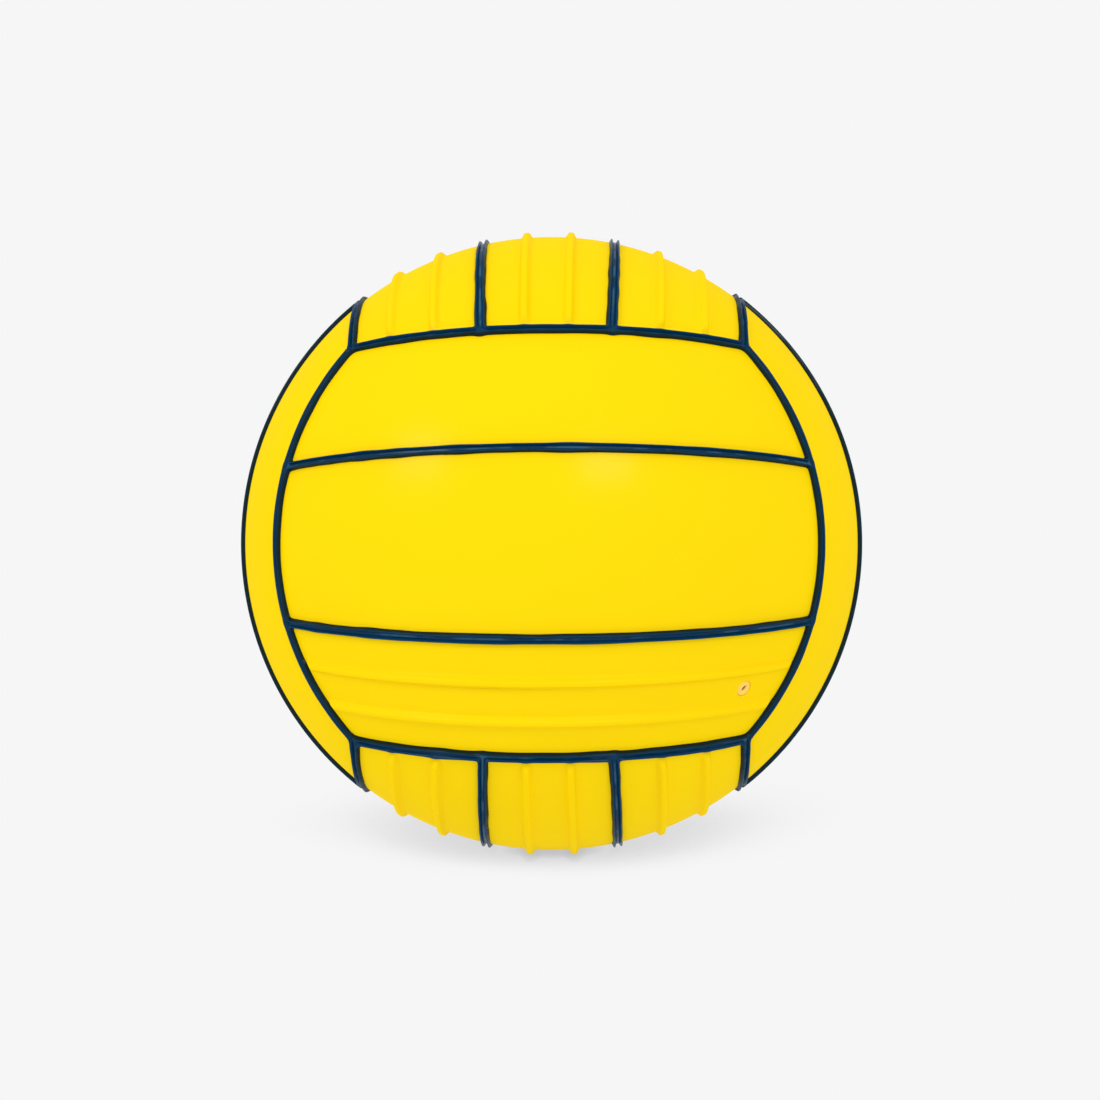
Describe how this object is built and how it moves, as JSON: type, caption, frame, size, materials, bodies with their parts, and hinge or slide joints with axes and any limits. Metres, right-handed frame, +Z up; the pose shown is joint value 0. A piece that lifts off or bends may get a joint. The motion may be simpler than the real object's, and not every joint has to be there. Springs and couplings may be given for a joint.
{
  "type": "water polo ball",
  "caption": "Yellow rubber water polo ball with raised blue double-lip seams in a strip pattern, grip ribs and a pull-out needle valve core over a wound bladder.",
  "frame": {"origin": "centre of the ball", "axes": "+Z up through the middle of the ribbed top face; -Y out of the middle of the front face, whose lower panel holds the valve; +X to the right seen from the front"},
  "size_m": [0.208, 0.208, 0.2108],
  "materials": {
    "panel_rubber": "satin",
    "seam_rubber": "gloss",
    "winding_thread": "matte",
    "bladder_rubber": "satin",
    "housing_rubber": "matte",
    "gum_rubber": "satin"
  },
  "bodies": {
    "ball": {"panel_front_lower": "panel_rubber", "panel_front_middle": "panel_rubber", "panel_front_upper": "panel_rubber", "panel_back_lower": "panel_rubber", "panel_back_middle": "panel_rubber", "panel_back_upper": "panel_rubber", "panel_top_left": "panel_rubber", "panel_top_middle": "panel_rubber", "panel_top_right": "panel_rubber", "panel_bottom_left": "panel_rubber", "panel_bottom_middle": "panel_rubber", "panel_bottom_right": "panel_rubber", "panel_left_front": "panel_rubber", "panel_left_middle": "panel_rubber", "panel_left_back": "panel_rubber", "panel_right_front": "panel_rubber", "panel_right_middle": "panel_rubber", "panel_right_back": "panel_rubber", "inner_seam_front_lower": "seam_rubber", "inner_seam_front_upper": "seam_rubber", "inner_seam_back_lower": "seam_rubber", "inner_seam_back_upper": "seam_rubber", "inner_seam_top_left": "seam_rubber", "inner_seam_top_right": "seam_rubber", "inner_seam_bottom_left": "seam_rubber", "inner_seam_bottom_right": "seam_rubber", "inner_seam_left_front": "seam_rubber", "inner_seam_left_back": "seam_rubber", "inner_seam_right_front": "seam_rubber", "inner_seam_right_back": "seam_rubber", "edge_seam_front_bottom": "seam_rubber", "edge_seam_front_top": "seam_rubber", "edge_seam_back_bottom": "seam_rubber", "edge_seam_back_top": "seam_rubber", "edge_seam_top_left": "seam_rubber", "edge_seam_top_right": "seam_rubber", "edge_seam_bottom_left": "seam_rubber", "edge_seam_bottom_right": "seam_rubber", "edge_seam_left_front": "seam_rubber", "edge_seam_left_back": "seam_rubber", "edge_seam_right_front": "seam_rubber", "edge_seam_right_back": "seam_rubber", "thread_winding": "winding_thread", "bladder": "bladder_rubber", "valve_housing": "housing_rubber"},
    "core": {"valve_core": "gum_rubber"}
  },
  "joints": [
    {"name": "core_pull", "type": "slide", "parent": "ball", "child": "core", "axis": [0.563, -0.7112, -0.4209], "range_m": [0, 0.016]}
  ]
}
